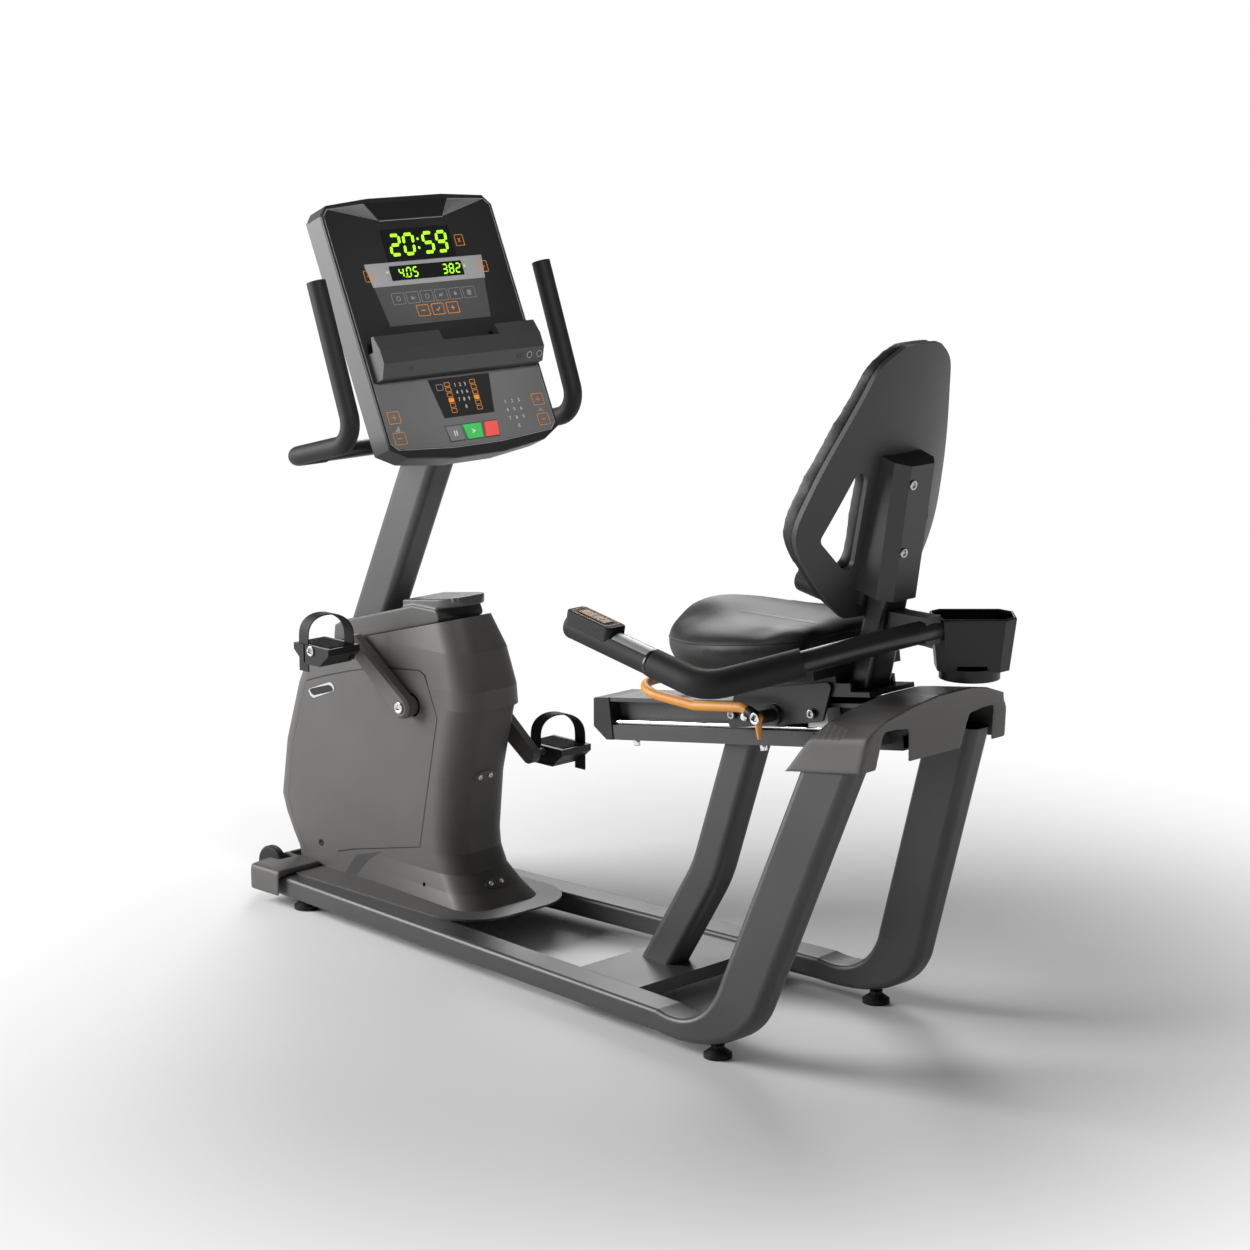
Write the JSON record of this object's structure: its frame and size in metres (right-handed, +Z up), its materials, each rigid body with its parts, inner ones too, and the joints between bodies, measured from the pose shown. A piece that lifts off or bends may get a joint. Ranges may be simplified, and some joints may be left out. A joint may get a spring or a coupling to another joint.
{
  "type": "exercise bike",
  "caption": "Recumbent exercise bike: low seat with a back on an inclined sliding rail, pedals on a shrouded drive, and a console with side handles on a leaning mast.",
  "frame": {"origin": "centre of the bounding box on the floor", "axes": "+X to the rear, from the console to the seat; +Y to the rider's right; +Z up"},
  "size_m": [1.6723, 0.618, 1.3608],
  "materials": {
    "frame_paint": "satin",
    "shroud_grey": "satin",
    "cap_grey": "satin",
    "face_grey": "satin",
    "black_plastic": "satin",
    "black_rubber": "matte",
    "black_paint": "satin",
    "cushion": "matte",
    "chrome": "polished",
    "steel": "brushed",
    "arm_grey": "satin",
    "iron": "matte",
    "glide": "matte",
    "orange": "satin",
    "key_grey": "satin",
    "key_green": "satin",
    "key_red": "satin"
  },
  "bodies": {
    "frame": {"rail_left": "frame_paint", "rail_right": "frame_paint", "leg_left": "frame_paint", "leg_right": "frame_paint", "front_beam": "frame_paint", "front_cover": "shroud_grey", "cross_beam": "frame_paint", "seat_post": "frame_paint", "base_plate": "shroud_grey", "levelling_feet": "black_rubber", "shroud_left": "shroud_grey", "shroud_right": "shroud_grey", "side_panel_left": "shroud_grey", "side_panel_right": "shroud_grey", "top_cap": "cap_grey", "mast": "frame_paint", "console_housing": "cap_grey", "console_face": "face_grey", "device_shelf": "black_plastic", "console_handle": "black_paint", "console_grips": "black_rubber", "display_board": "black_plastic", "seat_rail": "frame_paint", "rail_end_cap": "black_plastic", "guide_rods": "chrome", "rear_cover": "shroud_grey", "drive_belt": "black_rubber", "drive_bracket": "frame_paint", "bearings": "steel", "brake_unit": "arm_grey"},
    "crank": {"crank_axle": "steel", "crank_left": "arm_grey", "crank_right": "arm_grey", "drive_pulley": "arm_grey"},
    "pedal_left": {"pedal_left": "black_plastic", "strap_left": "black_rubber"},
    "pedal_right": {"pedal_right": "black_plastic", "strap_right": "black_rubber"},
    "flywheel": {"flywheel": "iron"},
    "seat": {"seat_carriage": "black_paint", "glide_blocks": "glide", "seat_pan": "black_plastic", "seat_cushion": "cushion", "seat_handlebar": "black_paint", "seat_grip_left": "black_rubber", "seat_grip_right": "black_rubber", "back_post": "black_paint", "bracket_cover": "black_plastic", "back_shell": "black_plastic", "back_pad": "cushion", "cup_holder": "black_plastic"},
    "release_lever": {"release_lever": "orange"},
    "lock_pin": {"lock_pin": "steel"},
    "pause_key": {"pause_key": "key_grey"},
    "start_key": {"start_key": "key_green"},
    "stop_key": {"stop_key": "key_red"},
    "thumb_key_left": {"thumb_key_left": "black_plastic"},
    "thumb_key_right": {"thumb_key_right": "black_plastic"},
    "transport_wheel_left": {"transport_wheel_left": "black_rubber"},
    "transport_wheel_right": {"transport_wheel_right": "black_rubber"}
  },
  "joints": [
    {"name": "crank_spin", "type": "hinge", "parent": "frame", "child": "crank", "pos_m": [-0.418, 0, 0.43], "axis": [0, 1, 0], "continuous": true},
    {"name": "pedal_left_spin", "type": "hinge", "parent": "crank", "child": "pedal_left", "pos_m": [-0.55532, -0.155, 0.53021], "axis": [0, 1, 0], "continuous": true},
    {"name": "pedal_right_spin", "type": "hinge", "parent": "crank", "child": "pedal_right", "pos_m": [-0.28068, 0.155, 0.32979], "axis": [0, 1, 0], "continuous": true},
    {"name": "flywheel_spin", "type": "hinge", "parent": "frame", "child": "flywheel", "pos_m": [-0.6, 0, 0.23], "axis": [0, 1, 0], "continuous": true},
    {"name": "seat_slide", "type": "slide", "parent": "frame", "child": "seat", "axis": [0.9895, 0, 0.1444], "range_m": [-0.285, 0]},
    {"name": "lever_lift", "type": "hinge", "parent": "seat", "child": "release_lever", "pos_m": [0.475, 0, 0.56], "axis": [0, 1, 0], "range_deg": [0, 8], "stiffness_Nm_per_rad": 4, "springref_deg": -11.46},
    {"name": "lock_lift", "type": "slide", "parent": "seat", "child": "lock_pin", "axis": [-0.1444, 0, 0.9895], "range_m": [0, 0.0085]},
    {"name": "pause_press", "type": "slide", "parent": "frame", "child": "pause_key", "axis": [-0.9135, 0, -0.4067], "range_m": [0, 0.0015], "stiffness_N_per_m": 400},
    {"name": "start_press", "type": "slide", "parent": "frame", "child": "start_key", "axis": [-0.9135, 0, -0.4067], "range_m": [0, 0.0015], "stiffness_N_per_m": 400},
    {"name": "stop_press", "type": "slide", "parent": "frame", "child": "stop_key", "axis": [-0.9135, 0, -0.4067], "range_m": [0, 0.0015], "stiffness_N_per_m": 400},
    {"name": "thumb_left_press", "type": "slide", "parent": "seat", "child": "thumb_key_left", "axis": [-0.1886, 0, -0.9821], "range_m": [0, 0.0015], "stiffness_N_per_m": 400},
    {"name": "thumb_right_press", "type": "slide", "parent": "seat", "child": "thumb_key_right", "axis": [-0.1886, 0, -0.9821], "range_m": [0, 0.0015], "stiffness_N_per_m": 400},
    {"name": "wheel_left_spin", "type": "hinge", "parent": "frame", "child": "transport_wheel_left", "pos_m": [-0.8, -0.11, 0.054], "axis": [0, 1, 0], "continuous": true},
    {"name": "wheel_right_spin", "type": "hinge", "parent": "frame", "child": "transport_wheel_right", "pos_m": [-0.8, 0.11, 0.054], "axis": [0, 1, 0], "continuous": true}
  ],
  "couplings": [
    {"joint": "flywheel_spin", "follows": "crank_spin", "ratio": 4},
    {"joint": "lock_lift", "follows": "lever_lift", "m_per_rad": 0.057}
  ]
}
